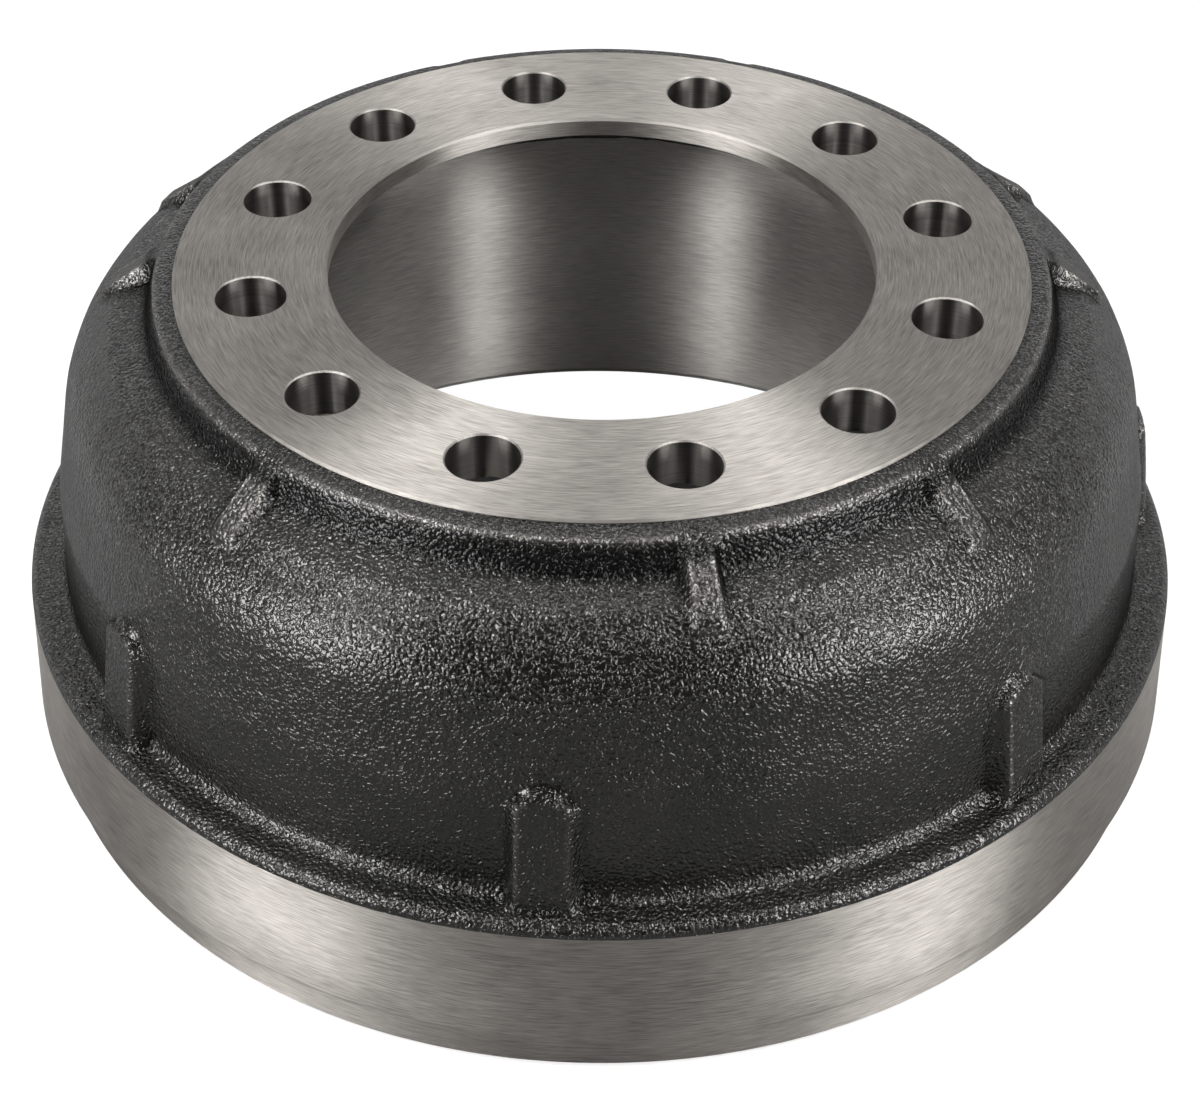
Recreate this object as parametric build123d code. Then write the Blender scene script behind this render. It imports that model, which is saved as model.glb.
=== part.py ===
"""Brake drum for a heavy vehicle: one grey iron casting, machined where it mates and where it brakes.

The origin is at the centre of the open rim, in the plane that the drum rests on, and +Z runs up
the axis of rotation to the hub face. Sizes are in millimetres and angles in degrees.
"""

from build123d import *
import math
import os

# Whole drum
DRUM_HEIGHT = 210.0

# Inside: friction surface, its mouth, and the bell above it
BRAKE_D = 419.1
BRAKE_WIDTH = 140.0
MOUTH_FLARE = 8.45
MOUTH_DEPTH = 8.0
BELL_STEP = 9.55
BELL_STEP_HEIGHT = 4.0
BELL_ROUND = 36.0

# Barrel and shoulder, as cast
BARREL_WALL = 20.95
BARREL_DRAFT = 2.5
FLARE_ANGLE = 14.0
FLARE_END_DEPTH = 88.0
FLARE_ROUND = 40.0
SHOULDER_RUN = 29.5
SHOULDER_SLOPE = 42.0
SHOULDER_ROUND = 48.0

# Crest, shelf and groove between the shoulder and the flange
CREST_ROUND = 12.0
SHELF_WIDTH = 15.0
SHELF_SLOPE = 18.0
GROOVE_DEPTH = 15.5
GROOVE_ROUND = 5.0
GROOVE_WALL_RUN = 4.5

# Hub flange: a machined face that stands a little proud of its cast rim
FLANGE_T = 20.0
RIM_WIDTH = 8.0
RIM_FALL = 1.2
RIM_ROUND = 2.0
FACE_CHAMFER = 0.8
FACE_SIDE = 0.4

# Pilot bore: a short machined land with a cone behind it
PILOT_D = 223.0
PILOT_CHAMFER = 1.0
PILOT_LAND = 8.0
PILOT_STEP = 1.0
RELIEF_RUN = 18.0

# Bolt holes
BOLT_COUNT = 12
BOLT_CIRCLE_D = 285.75
BOLT_HOLE_D = 28.4
BOLT_HOLE_CHAMFER = 0.6
BOLT_START_ANGLE = 12.5
DRILL_OVERRUN = 10.0

# Ledge at the foot of the barrel and the turned band below it
BAND_STEP = 18.8
BAND_WIDTH = 53.5
BAND_TAPER = 3.1
BAND_CHAMFER = 1.0
LEDGE_HEIGHT = 5.0
LEDGE_SLOPE = 3.0
LEDGE_FOOT_ROUND = 5.0
LEDGE_EDGE_ROUND = 4.5

# Turned lip of the open rim
LIP_STEP = 3.8
LIP_HEIGHT = 18.5
LIP_TAPER = 4.0
LIP_CHAMFER = 0.6

# Gusset ribs from the flange rim to the crest; they stand unevenly round the groove
RIB_ANGLES = (-132.0, -79.0, -47.5, 4.0, 26.0, 70.0, 113.0, 157.0, 177.0)
RIB_WIDTH = 10.0
RIB_ROOT = 4.5
RIB_DRAFT = 12.0
RIB_SINK = 0.8
RIB_REACH = 2.0
RIB_EDGE_ROUND = 1.2

# Upright lugs on the barrel, with their feet on the ledge; the first five are a little wider apart
LUG_ANGLES = (-192.0, -143.0, -95.0, -46.0, 2.0, 43.5, 85.0, 126.5)
LUG_HEIGHT = 50.5
LUG_WIDTH = 19.5
LUG_FOOT_RISE = 8.8
LUG_TOP_RISE = 5.1
LUG_FACE_DEPTH = 4.0
LUG_FACE_DRAFT = 22.0
LUG_SKIRT_DRAFT = 45.0
LUG_ROOT = 2.5
LUG_EDGE_ROUND = 2.0

# How much larger the upright corners of a rib or lug are rounded than the edges of its top face
PAD_CORNER_EXTRA = 0.8

# Share of a straight edge that the roundings at its two ends may take up
EDGE_SHARE = 0.95


def tangent(angle):
    """Tangent of an angle in degrees."""
    return math.tan(math.radians(angle))


def drop(depth):
    """Height above the open rim of a place given by its depth below the hub face."""
    return DRUM_HEIGHT - depth


# Radii, from the friction surface outwards and then back in to the hub face
BRAKE_R = BRAKE_D / 2
BARREL_R = BRAKE_R + BARREL_WALL
BAND_R = BARREL_R + BAND_STEP
BAND_TOP_R = BAND_R - BAND_WIDTH * tangent(BAND_TAPER)
LIP_TOP_R = BAND_R - LIP_STEP
LIP_R = LIP_TOP_R - LIP_HEIGHT * tangent(LIP_TAPER)
CREST_R = BARREL_R - SHOULDER_RUN
GROOVE_R = CREST_R - SHELF_WIDTH
FLANGE_R = GROOVE_R - GROOVE_WALL_RUN
FACE_R = FLANGE_R - RIM_WIDTH
PILOT_R = PILOT_D / 2

# Heights above the open rim, and depths below the hub face
BAND_TOP = LIP_HEIGHT + BAND_WIDTH
LEDGE_TOP = BAND_TOP + LEDGE_HEIGHT
BARREL_BASE = LEDGE_TOP + (BAND_TOP_R - BARREL_R) * tangent(LEDGE_SLOPE)
FLARE_END = drop(FLARE_END_DEPTH)
FLARE_R = BARREL_R - (FLARE_END - BARREL_BASE) * tangent(BARREL_DRAFT)
CREST_DEPTH = GROOVE_DEPTH + SHELF_WIDTH * tangent(SHELF_SLOPE)
FACE_RISE = FACE_CHAMFER + FACE_SIDE
RIM_DEPTH = FACE_RISE + RIM_FALL
BRAKE_TOP = MOUTH_DEPTH + BRAKE_WIDTH


def shoulder_corner():
    """Meeting point of the shoulder's slope and the flared wall, both drawn on as straight lines."""
    flare = tangent(FLARE_ANGLE)
    slope = tangent(SHOULDER_SLOPE)
    radius_at_crest_depth = FLARE_R - (FLARE_END_DEPTH - CREST_DEPTH) * flare
    radius = CREST_R + (radius_at_crest_depth - CREST_R) / (1 - slope * flare)
    return radius, CREST_DEPTH + (radius - CREST_R) * slope


def outer_corners():
    """Corners of the outside from the hub face down to the rim, each as radius, height and rounding."""
    shoulder_r, shoulder_depth = shoulder_corner()
    return [
        (FACE_R - FACE_CHAMFER, DRUM_HEIGHT, 0),
        (FACE_R, drop(FACE_CHAMFER), 0),
        (FACE_R, drop(FACE_RISE), 0),
        (FLANGE_R, drop(RIM_DEPTH), RIM_ROUND),
        (GROOVE_R, drop(GROOVE_DEPTH), GROOVE_ROUND),
        (CREST_R, drop(CREST_DEPTH), CREST_ROUND),
        (shoulder_r, drop(shoulder_depth), SHOULDER_ROUND),
        (FLARE_R, FLARE_END, FLARE_ROUND),
        (BARREL_R, BARREL_BASE, LEDGE_FOOT_ROUND),
        (BAND_TOP_R, LEDGE_TOP, LEDGE_EDGE_ROUND),
        (BAND_TOP_R, BAND_TOP, 0),
        (BAND_R, LIP_HEIGHT + BAND_CHAMFER, 0),
        (BAND_R - BAND_CHAMFER, LIP_HEIGHT, 0),
        (LIP_TOP_R, LIP_HEIGHT, 0),
        (LIP_R, LIP_CHAMFER, 0),
        (LIP_R - LIP_CHAMFER, 0, 0),
    ]


def inner_corners():
    """Corners of the inside from the rim up to the hub face, each as radius, height and rounding."""
    bell_r = BRAKE_R - BELL_STEP
    return [
        (BRAKE_R + MOUTH_FLARE, 0, 0),
        (BRAKE_R, MOUTH_DEPTH, 0),
        (BRAKE_R, BRAKE_TOP, 0),
        (bell_r, BRAKE_TOP + BELL_STEP_HEIGHT, 0),
        (bell_r, drop(FLANGE_T), BELL_ROUND),
        (PILOT_R + RELIEF_RUN, drop(FLANGE_T), 0),
        (PILOT_R + PILOT_STEP, drop(PILOT_LAND), 0),
        (PILOT_R, drop(PILOT_LAND), 0),
        (PILOT_R, drop(PILOT_CHAMFER), 0),
        (PILOT_R + PILOT_CHAMFER, DRUM_HEIGHT, 0),
    ]


def tangent_length(before, corner, after):
    """Length of edge that the rounding of one corner takes up on each side of it."""
    arriving = Vector(corner[0] - before[0], corner[1] - before[1])
    leaving = Vector(after[0] - corner[0], after[1] - corner[1])
    return corner[2] * tangent(arriving.get_angle(leaving) / 2)


def fitted_roundings(corners):
    """Rounding radii of a closed outline, eased where two of them would not fit on their edge."""
    count = len(corners)
    reach = [
        tangent_length(corners[i - 1], corners[i], corners[(i + 1) % count])
        for i in range(count)
    ]
    scale = [1.0] * count
    for i in range(count):
        after = (i + 1) % count
        edge = math.dist(corners[i][:2], corners[after][:2])
        wanted = reach[i] + reach[after]
        if wanted > edge * EDGE_SHARE:
            fit = edge * EDGE_SHARE / wanted
            scale[i] = min(scale[i], fit)
            scale[after] = min(scale[after], fit)
    return [corner[2] * factor for corner, factor in zip(corners, scale)]


def turned_body():
    """The casting without ribs, lugs or holes: its section turned once round the axis."""
    corners = outer_corners() + inner_corners()
    points = [(radius, height) for radius, height, rounding in corners]
    outline = FilletPolyline(*points, radius=fitted_roundings(corners), close=True)
    section = make_face(Plane.XZ * outline)
    return revolve(section, Axis.Z)


def pad_plane(start, end):
    """Plane of a pad's flat top at angle zero, with its x axis from start to end and z axis outwards."""
    along = Vector(end[0] - start[0], 0, end[1] - start[1])
    middle = Vector((start[0] + end[0]) / 2, 0, (start[1] + end[1]) / 2)
    outward = Vector(along.Z, 0, -along.X)
    if outward.X < 0:
        outward = -outward
    return Plane(origin=middle, x_dir=along, z_dir=outward)


def drafted_pad(start, end, width, edge_round, layers):
    """A pad that grows inwards from a flat top; each layer is a depth and the draft of its sides."""
    top = pad_plane(start, end)
    length = math.dist(start, end)
    corner_round = edge_round + PAD_CORNER_EXTRA
    depth = 0
    growth = 0
    sections = [top * RectangleRounded(length, width, corner_round)]
    for layer_depth, draft in layers:
        depth += layer_depth
        growth += layer_depth * tangent(draft)
        outline = RectangleRounded(length + 2 * growth, width + 2 * growth, corner_round)
        sections.append(top.offset(-depth) * outline)
    pad = loft(sections, ruled=True)
    top_face = pad.faces().sort_by(Axis(top.origin, top.z_dir))[-1]
    return fillet(top_face.edges(), edge_round)


def rib():
    """One gusset rib at angle zero, from just inside the flange rim to just past the crest."""
    start = (FLANGE_R - RIB_SINK, drop(RIM_DEPTH + RIB_SINK))
    end = (CREST_R + RIB_REACH, drop(CREST_DEPTH))
    groove = Vector(GROOVE_R, 0, drop(GROOVE_DEPTH))
    depth_of_groove = abs(pad_plane(start, end).to_local_coords(groove).Z)
    layers = [(depth_of_groove + RIB_ROOT, RIB_DRAFT)]
    return drafted_pad(start, end, RIB_WIDTH, RIB_EDGE_ROUND, layers)


def wall_radius(height):
    """Radius of the barrel, or of the flared wall above it, at one height."""
    barrel = BARREL_R - (height - BARREL_BASE) * tangent(BARREL_DRAFT)
    flared = FLARE_R - (height - FLARE_END) * tangent(FLARE_ANGLE)
    return min(barrel, flared)


def lug():
    """One upright lug at angle zero, with its foot let into the ledge."""
    lug_top = LEDGE_TOP + LUG_HEIGHT
    foot = (BARREL_R + LUG_FOOT_RISE, BAND_TOP)
    top = (wall_radius(lug_top) + LUG_TOP_RISE, lug_top)
    skirt_depth = max(LUG_FOOT_RISE, LUG_TOP_RISE) - LUG_FACE_DEPTH + LUG_ROOT
    layers = [(LUG_FACE_DEPTH, LUG_FACE_DRAFT), (skirt_depth, LUG_SKIRT_DRAFT)]
    return drafted_pad(foot, top, LUG_WIDTH, LUG_EDGE_ROUND, layers)


def bolt_hole():
    """The space of one bolt hole, with the chamfer that breaks its top edge."""
    radius = BOLT_HOLE_D / 2
    hole = Pos(0, 0, drop(FLANGE_T / 2)) * Cylinder(radius, FLANGE_T + 2 * DRILL_OVERRUN)
    mouth = Pos(0, 0, drop(BOLT_HOLE_CHAMFER / 2)) * Cone(
        radius, radius + BOLT_HOLE_CHAMFER, BOLT_HOLE_CHAMFER
    )
    return hole + mouth


def brake_drum():
    """The whole drum as one solid."""
    body = turned_body()
    for angle in RIB_ANGLES:
        body += Rot(0, 0, angle) * rib()
    for angle in LUG_ANGLES:
        body += Rot(0, 0, angle) * lug()
    body -= PolarLocations(BOLT_CIRCLE_D / 2, BOLT_COUNT, BOLT_START_ANGLE) * bolt_hole()
    return body


os.makedirs("parts", exist_ok=True)
drum = brake_drum()
drum.label = "brake_drum"
export_step(drum, "parts/brake_drum.step")
print("solids", len(drum.solids()), "volume", round(drum.volume), "valid", drum.is_valid)
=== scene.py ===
# %% [markdown]
# # A brake drum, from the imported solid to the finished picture
#
# The real object is one grey iron casting. A lathe then cut the hub face, the pilot bore, the band,
# the lip and the friction surface, and a drill cut twelve holes. Everything else keeps the dark, grainy
# skin of the sand mould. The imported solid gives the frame: its size and place are kept as they are.

# %% Load the part
import math

import bmesh
import bpy
import numpy as np
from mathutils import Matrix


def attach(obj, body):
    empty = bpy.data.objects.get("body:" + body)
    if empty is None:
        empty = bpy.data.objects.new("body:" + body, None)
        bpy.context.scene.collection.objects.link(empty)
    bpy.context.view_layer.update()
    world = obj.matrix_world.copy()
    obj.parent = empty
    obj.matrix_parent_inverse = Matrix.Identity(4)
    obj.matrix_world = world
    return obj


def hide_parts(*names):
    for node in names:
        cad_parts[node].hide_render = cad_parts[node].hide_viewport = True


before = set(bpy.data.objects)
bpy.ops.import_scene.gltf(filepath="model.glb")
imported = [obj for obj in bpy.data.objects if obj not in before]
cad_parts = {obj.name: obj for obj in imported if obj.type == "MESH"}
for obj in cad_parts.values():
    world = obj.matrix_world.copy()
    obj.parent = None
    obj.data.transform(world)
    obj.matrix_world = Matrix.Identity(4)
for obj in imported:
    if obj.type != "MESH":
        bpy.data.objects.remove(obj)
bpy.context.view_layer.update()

# %% [markdown]
# The drum's sizes are the solid's own, in millimetres. Radii are measured from the axis and heights
# from the open rim, because the drum stands on that rim. Depths are measured down from the hub face.
# A lathe works from the same kind of drawing.

# %% Sizes of the drum
MM = 0.001
HEIGHT = 210.0
FACE_R, FACE_CHAMFER, FACE_SIDE = 173.5, 0.8, 0.4
RIM_TOP_R, RIM_TOP_FALL = 178.0, 0.7
RIM_R, RIM_DEPTH, RIM_ROUND = 181.5, 2.4, 2.0
GROOVE_R, GROOVE_DEPTH, GROOVE_ROUND = 186.0, 15.5, 5.0
CREST_R, CREST_DEPTH, CREST_ROUND = 201.0, 20.374, 12.0
SHOULDER_R, SHOULDER_DEPTH, SHOULDER_ROUND = 219.14, 36.71, 48.0
BARREL_TOP_R, BARREL_TOP = 225.1, 140.0
FLARE_R, FLARE_DEPTH, FLARE_ROUND = 228.55, 88.0, 40.0
BARREL_R, BARREL_BASE, FOOT_ROUND = 230.5, 77.83, 5.0
LEDGE_TOP, LEDGE_ROUND, LEDGE_SLOPE, LEDGE_END_R = 77.0, 4.5, 3.0, 241.8
BAND_R, BAND_TOP_R, BAND_BASE, BAND_TOP = 249.3, 246.40, 18.5, 72.0
BAND_CHAMFER = 1.0
LIP_TOP_R, LIP_R, LIP_CHAMFER = 245.5, 244.2, 0.6
MOUTH_R, MOUTH_DEPTH = 218.0, 8.0
BRAKE_R, BRAKE_TOP = 209.55, 148.0
BELL_R, BELL_BASE, BELL_ROUND = 200.0, 152.0, 36.0
FLANGE_T, RELIEF_R = 20.0, 129.5
UNDERSIDE_R = BELL_R - BELL_ROUND - 2.0
PILOT_R, PILOT_LAND, PILOT_STEP, PILOT_CHAMFER = 111.5, 8.0, 1.0, 1.0
HOLE_COUNT, HOLE_CIRCLE_R, HOLE_R, HOLE_CHAMFER, FIRST_HOLE = 12, 142.875, 14.2, 0.6, 12.5
HOLE_PITCH = 360.0 / HOLE_COUNT
LUG_ANGLES = np.array([-192.0, -143.0, -95.0, -46.0, 2.0, 43.5, 85.0, 126.5])
LUG_WIDTH, LUG_TOP, LUG_TOP_R, LUG_FOOT_R, LUG_CORNER = 19.5, 127.5, 232.2, 239.3, 5.5
RIB_ANGLES = np.array([-132.0, -79.0, -47.5, 4.0, 26.0, 70.0, 113.0, 157.0, 177.0])
RIB_WIDTH = 10.0
print("drum", 2 * BAND_R, "mm across and", HEIGHT, "mm high")

# %% [markdown]
# A lathe follows a section: a chain of straight cuts with rounded corners. One function draws such a
# chain, so every section of the drum comes from the same few corners that a drawing would give. Each
# corner is a radius, a height and a rounding.


# %% Draw a section with rounded corners
def rounded_section(corners, round_steps=6):
    """Points of a chain of lines whose corners are rounded.

    A corner with rounding q between edges that turn by the angle a gives up q * tan(a / 2) of each
    edge. Between those two places its points lie on a circle of radius q about the point at q from
    both edges.
    """
    points = [np.array(corners[0][:2])]
    for before, corner, after in zip(corners[:-2], corners[1:-1], corners[2:]):
        place, rounding = np.array(corner[:2]), corner[2]
        arriving = place - np.array(before[:2])
        leaving = np.array(after[:2]) - place
        arriving /= np.linalg.norm(arriving)
        leaving /= np.linalg.norm(leaving)
        turn = math.acos(np.clip(arriving @ leaving, -1, 1))
        if rounding == 0 or turn < 0.01:
            points.append(place)
            continue
        side = np.sign(arriving[0] * leaving[1] - arriving[1] * leaving[0])
        start = place - arriving * rounding * math.tan(turn / 2)
        centre = start + side * rounding * np.array([-arriving[1], arriving[0]])
        swept_angle = np.linspace(0, side * turn, round_steps + 1)
        spoke = start - centre
        points += list(centre + np.stack([
            spoke[0] * np.cos(swept_angle) - spoke[1] * np.sin(swept_angle),
            spoke[0] * np.sin(swept_angle) + spoke[1] * np.cos(swept_angle)], axis=1))
    points.append(np.array(corners[-1][:2]))
    return np.array(points)


def evenly_spaced(section, count, first=0.0, last=None):
    """The same chain of lines with count points at equal steps along it, from one length to another."""
    steps = np.linalg.norm(np.diff(section, axis=0), axis=1)
    travelled = np.concatenate([[0], np.cumsum(steps)])
    wanted = np.linspace(first, travelled[-1] if last is None else last, count)
    return np.stack([np.interp(wanted, travelled, section[:, axis]) for axis in (0, 1)], axis=1)


def longest_step(section):
    """The longest distance from one point of a section to the next, in millimetres."""
    return round(float(np.linalg.norm(np.diff(section, axis=0), axis=1).max()), 2)


right_angle = [(0.0, 0.0), (10.0, 0.0, 2.0), (10.0, 10.0)]
print("a rounded right angle has", len(rounded_section(right_angle)), "points")

# %% [markdown]
# The outside is drawn in stretches. Two of them have a second version: the stretch over the groove
# has one that runs along the top of a gusset rib, and the stretch down the barrel has one that runs
# over an upright lug. Both versions have as many points, so the surface can slide from one to the
# other, and that slide leaves the soft foot that a sand mould gives every rib and lug.

# %% Sections of the outside
GROOVE_POINTS, SHOULDER_POINTS, BARREL_POINTS = 32, 24, 40
GROOVE_RUN = 42.0
side_foot = HEIGHT - FACE_CHAMFER - FACE_SIDE
rim_top = (RIM_TOP_R, side_foot - RIM_TOP_FALL)
barrel_start = (BARREL_TOP_R, BARREL_TOP)
ledge_rise = (BAND_TOP_R - LEDGE_END_R) * math.tan(math.radians(LEDGE_SLOPE))
ledge_end = (LEDGE_END_R, LEDGE_TOP + ledge_rise)

flange_edge = np.array([
    (FACE_R - FACE_CHAMFER, HEIGHT),
    (FACE_R, HEIGHT - FACE_CHAMFER),
    (FACE_R, side_foot),
    rim_top,
])
top_run = rounded_section([
    (*rim_top, 0),
    (RIM_R, HEIGHT - RIM_DEPTH, RIM_ROUND),
    (GROOVE_R, HEIGHT - GROOVE_DEPTH, GROOVE_ROUND),
    (CREST_R, HEIGHT - CREST_DEPTH, CREST_ROUND),
    (SHOULDER_R, HEIGHT - SHOULDER_DEPTH, SHOULDER_ROUND),
    (*barrel_start, 0),
], 12)
groove_plain = evenly_spaced(top_run, GROOVE_POINTS, 0.0, GROOVE_RUN)
shoulder = evenly_spaced(top_run, SHOULDER_POINTS, GROOVE_RUN)
barrel_plain = evenly_spaced(rounded_section([
    (*barrel_start, 0),
    (FLARE_R, HEIGHT - FLARE_DEPTH, FLARE_ROUND),
    (BARREL_R, BARREL_BASE, FOOT_ROUND),
    (*ledge_end, 0),
]), BARREL_POINTS)
print("groove ends at", groove_plain[-1].round(1), "and the shoulder at", shoulder[-1].round(1))
print("longest step in the groove", longest_step(groove_plain), "mm")
print("longest step on the barrel", longest_step(barrel_plain), "mm")

# %% [markdown]
# A rib starts at the rim's edge, slopes straight down over the groove and past the crest, and drops
# into the shoulder there. A lug has a rounded top, leans outwards by its draft and stands on the ledge.

# %% Sections over a rib and over a lug
rib_start = (RIM_R - 0.6, HEIGHT - RIM_DEPTH - 0.6, 3.0)
rib_end = (CREST_R + 5.2, HEIGHT - CREST_DEPTH - 1.2, 3.0)
rib_toe = (CREST_R + 6.9, HEIGHT - CREST_DEPTH - 5.3, 2.0)
lug_head = (227.2, 130.6, 2.5)
lug_brow = (LUG_TOP_R, LUG_TOP, 2.4)
lug_foot = (LUG_FOOT_R, LEDGE_TOP + 0.3, 2.5)
groove_rib = evenly_spaced(rounded_section([
    (*rim_top, 0), rib_start, rib_end, rib_toe, (*groove_plain[-1], 0)]), GROOVE_POINTS)
barrel_lug = evenly_spaced(rounded_section([
    (*barrel_start, 0), lug_head, lug_brow, lug_foot, (*ledge_end, 0)]), BARREL_POINTS)
print("longest step over a rib", longest_step(groove_rib), "mm")
print("longest step over a lug", longest_step(barrel_lug), "mm")

# %% [markdown]
# Below the ledge everything was turned on the lathe, so the rest of the section is one chain that
# goes down the band, under the lip and up the friction surface into the bell behind the flange.

# %% Section of the band, the lip and the inside
ledge_edge = rounded_section([
    (*ledge_end, 0),
    (BAND_TOP_R, LEDGE_TOP, LEDGE_ROUND),
    (BAND_TOP_R, BAND_TOP, 0),
], 6)
band = np.array([
    (BAND_TOP_R, BAND_TOP),
    *np.linspace((BAND_TOP_R, BAND_TOP), (BAND_R, BAND_BASE + 1.2 * BAND_CHAMFER), 5)[1:],
    (BAND_R - 0.25 * BAND_CHAMFER, BAND_BASE + 0.5 * BAND_CHAMFER),
    (BAND_R - BAND_CHAMFER, BAND_BASE),
])
lip = np.array([
    (BAND_R - BAND_CHAMFER, BAND_BASE),
    (LIP_TOP_R, BAND_BASE),
    (LIP_R, LIP_CHAMFER),
    (LIP_R - LIP_CHAMFER, 0.0),
    (MOUTH_R, 0.0),
])
friction = np.array([
    (MOUTH_R, 0.0),
    (BRAKE_R, MOUTH_DEPTH),
    *np.linspace((BRAKE_R, MOUTH_DEPTH), (BRAKE_R, BRAKE_TOP), 6)[1:],
])
bell = rounded_section([
    (BRAKE_R, BRAKE_TOP, 0),
    (BELL_R, BELL_BASE, 0),
    (BELL_R, HEIGHT - FLANGE_T, BELL_ROUND),
    (UNDERSIDE_R, HEIGHT - FLANGE_T, 0),
], 8)
pilot = np.array([
    (PILOT_R + PILOT_STEP, HEIGHT - PILOT_LAND),
    (PILOT_R, HEIGHT - PILOT_LAND),
    (PILOT_R, HEIGHT - PILOT_CHAMFER),
    (PILOT_R + PILOT_CHAMFER, HEIGHT),
])
print("rows on the inside", len(friction) + len(bell))

# %% [markdown]
# The angles at which the section is placed round the axis are not even. Flat stretches need few of
# them, while the flanks of a lug or rib need one every millimetre or less, so the columns crowd there.
# The borders of the twelve flange sectors are columns too, because the holes are fitted between them.

# %% Columns round the axis
LUG_FLANK = (LUG_WIDTH / 2 - 0.6, LUG_WIDTH / 2 + 5.2)
RIB_FLANK = (RIB_WIDTH / 2 - 0.5, RIB_WIDTH / 2 + 3.1)
LUG_TOP_SPAN, RIB_TOP_SPAN = (1.2, LUG_FLANK[0] - 1.2), (0.9, 2.9)
LUG_R, RIB_R = 236.0, 192.0
PLAIN_STEP, CLEARANCE = 1.1, 0.45  # degrees


def crowded_angles(centres, radius, span, step):
    """Angles on both sides of each centre, over a span of millimetres of arc, a step apart."""
    reach = np.arange(span[0], span[1] + step / 2, step)
    both = np.concatenate([-reach[::-1], reach]) / radius
    return (np.radians(centres)[:, None] + both[None, :]).ravel()


def joined_columns(fixed, crowded, even, clearance):
    """All fixed and crowded angles, and those even ones that stand clear of them, in order round the
    axis. A crowded one that falls on a fixed one is left out."""
    full = 2 * np.pi
    crowded = np.mod(crowded, full)
    gap = np.abs(np.mod(crowded[:, None] - fixed[None, :] + np.pi, full) - np.pi).min(axis=1)
    kept = np.concatenate([np.mod(fixed, full), crowded[gap > clearance / 3]])
    gap = np.abs(np.mod(even[:, None] - kept[None, :] + np.pi, full) - np.pi).min(axis=1)
    return np.sort(np.concatenate([kept, even[gap > clearance]]))


borders = np.radians(FIRST_HOLE + HOLE_PITCH / 2 + HOLE_PITCH * np.arange(HOLE_COUNT))
crowded = np.concatenate([
    crowded_angles(LUG_ANGLES, LUG_R, LUG_FLANK, 0.97),
    crowded_angles(RIB_ANGLES, RIB_R, RIB_FLANK, 0.52),
    crowded_angles(LUG_ANGLES, LUG_R, LUG_TOP_SPAN, 3.3),
    crowded_angles(RIB_ANGLES, RIB_R, RIB_TOP_SPAN, 2.0),
])
even = np.radians(np.arange(0.0, 360.0, PLAIN_STEP))
columns = joined_columns(np.mod(borders, 2 * np.pi), crowded, even, math.radians(CLEARANCE))
round_axis = np.append(columns, columns[0] + 2 * np.pi)
print("columns", len(columns))

# %% [markdown]
# A lug or rib reaches full height on its flat top and falls to nothing at its foot. Across its width
# its flanks are straight, with both ends eased, so the top edge and the foot are a little rounded, as
# on a real casting. A lug's upper corners are rounded too, which its width shows: it shrinks there.


# %% Raise the lugs and ribs
def share_of_pad(angles, centres, radius, flank, narrowing):
    """1 on the pads' tops and 0 beyond their feet, with straight flanks whose two ends are eased:
    1 - s, where s is the mean of the crossed share u and of 3 u^2 - 2 u^3. Narrowing, in millimetres,
    rounds a pad's corners."""
    share = np.zeros(np.broadcast(angles, radius).shape)
    for centre in np.radians(centres):
        away = np.abs(np.sin((angles - centre) / 2) * 2 * radius) + narrowing
        u = np.clip((away - flank[0]) / (flank[1] - flank[0]), 0, 1)
        share = np.maximum(share, 1 - 0.5 * u - 0.5 * u**2 * (3 - 2 * u))
    return share


def corner_narrowing(height, corner_height, corner_round):
    """How much a pad with rounded corners is narrower at a height: q - sqrt(q^2 - h^2), where h runs
    from 0 at the corner's start to q at the pad's end."""
    climbed = np.clip(height - (corner_height - corner_round), 0, corner_round)
    return corner_round - np.sqrt(corner_round**2 - climbed**2)


def blended(plain_section, raised_section, angles, centres, flank, narrowing):
    """Plain section + share * (raised section - plain section), at every angle."""
    share = share_of_pad(angles[None, :], centres, plain_section[:, :1], flank, narrowing[:, None])
    rise = (raised_section - plain_section)[:, None, :]
    return plain_section[:, None, :] + share[..., None] * rise


def straight(section, angles):
    """The same section at every angle."""
    return np.broadcast_to(section[:, None, :], (len(section), len(angles), 2))


square_corners = np.zeros(GROOVE_POINTS)
lug_corners = corner_narrowing(barrel_lug[:, 1], LUG_TOP, LUG_CORNER)
cast_sections = np.concatenate([
    blended(groove_plain, groove_rib, round_axis, RIB_ANGLES, RIB_FLANK, square_corners),
    straight(shoulder[1:], round_axis),
    blended(barrel_plain, barrel_lug, round_axis, LUG_ANGLES, LUG_FLANK, lug_corners)[1:],
    straight(ledge_edge[1:-1], round_axis),
])
rows = len(cast_sections)
print("rows of cast skin", rows)

# %% [markdown]
# The cast skin is a little uneven all over, because sand never packs perfectly: a few long, shallow
# waves move it by a tenth of a millimetre or two. They fade out over the last rows at the top and at
# the foot, so that the cast skin still meets the turned iron in a true circle.

# %% Unsettle the cast skin
WAVES_ROUND = (3, 5, 9, 14, 22, 35, 48, 61, 83, 97)
UNEVENNESS, UNEVEN_SEED = 0.22, 7
TOP_FADE_ROWS, FOOT_FADE_ROWS = 4, 5
OUT_AND_UP = np.array([0.8, 0.6])


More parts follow.
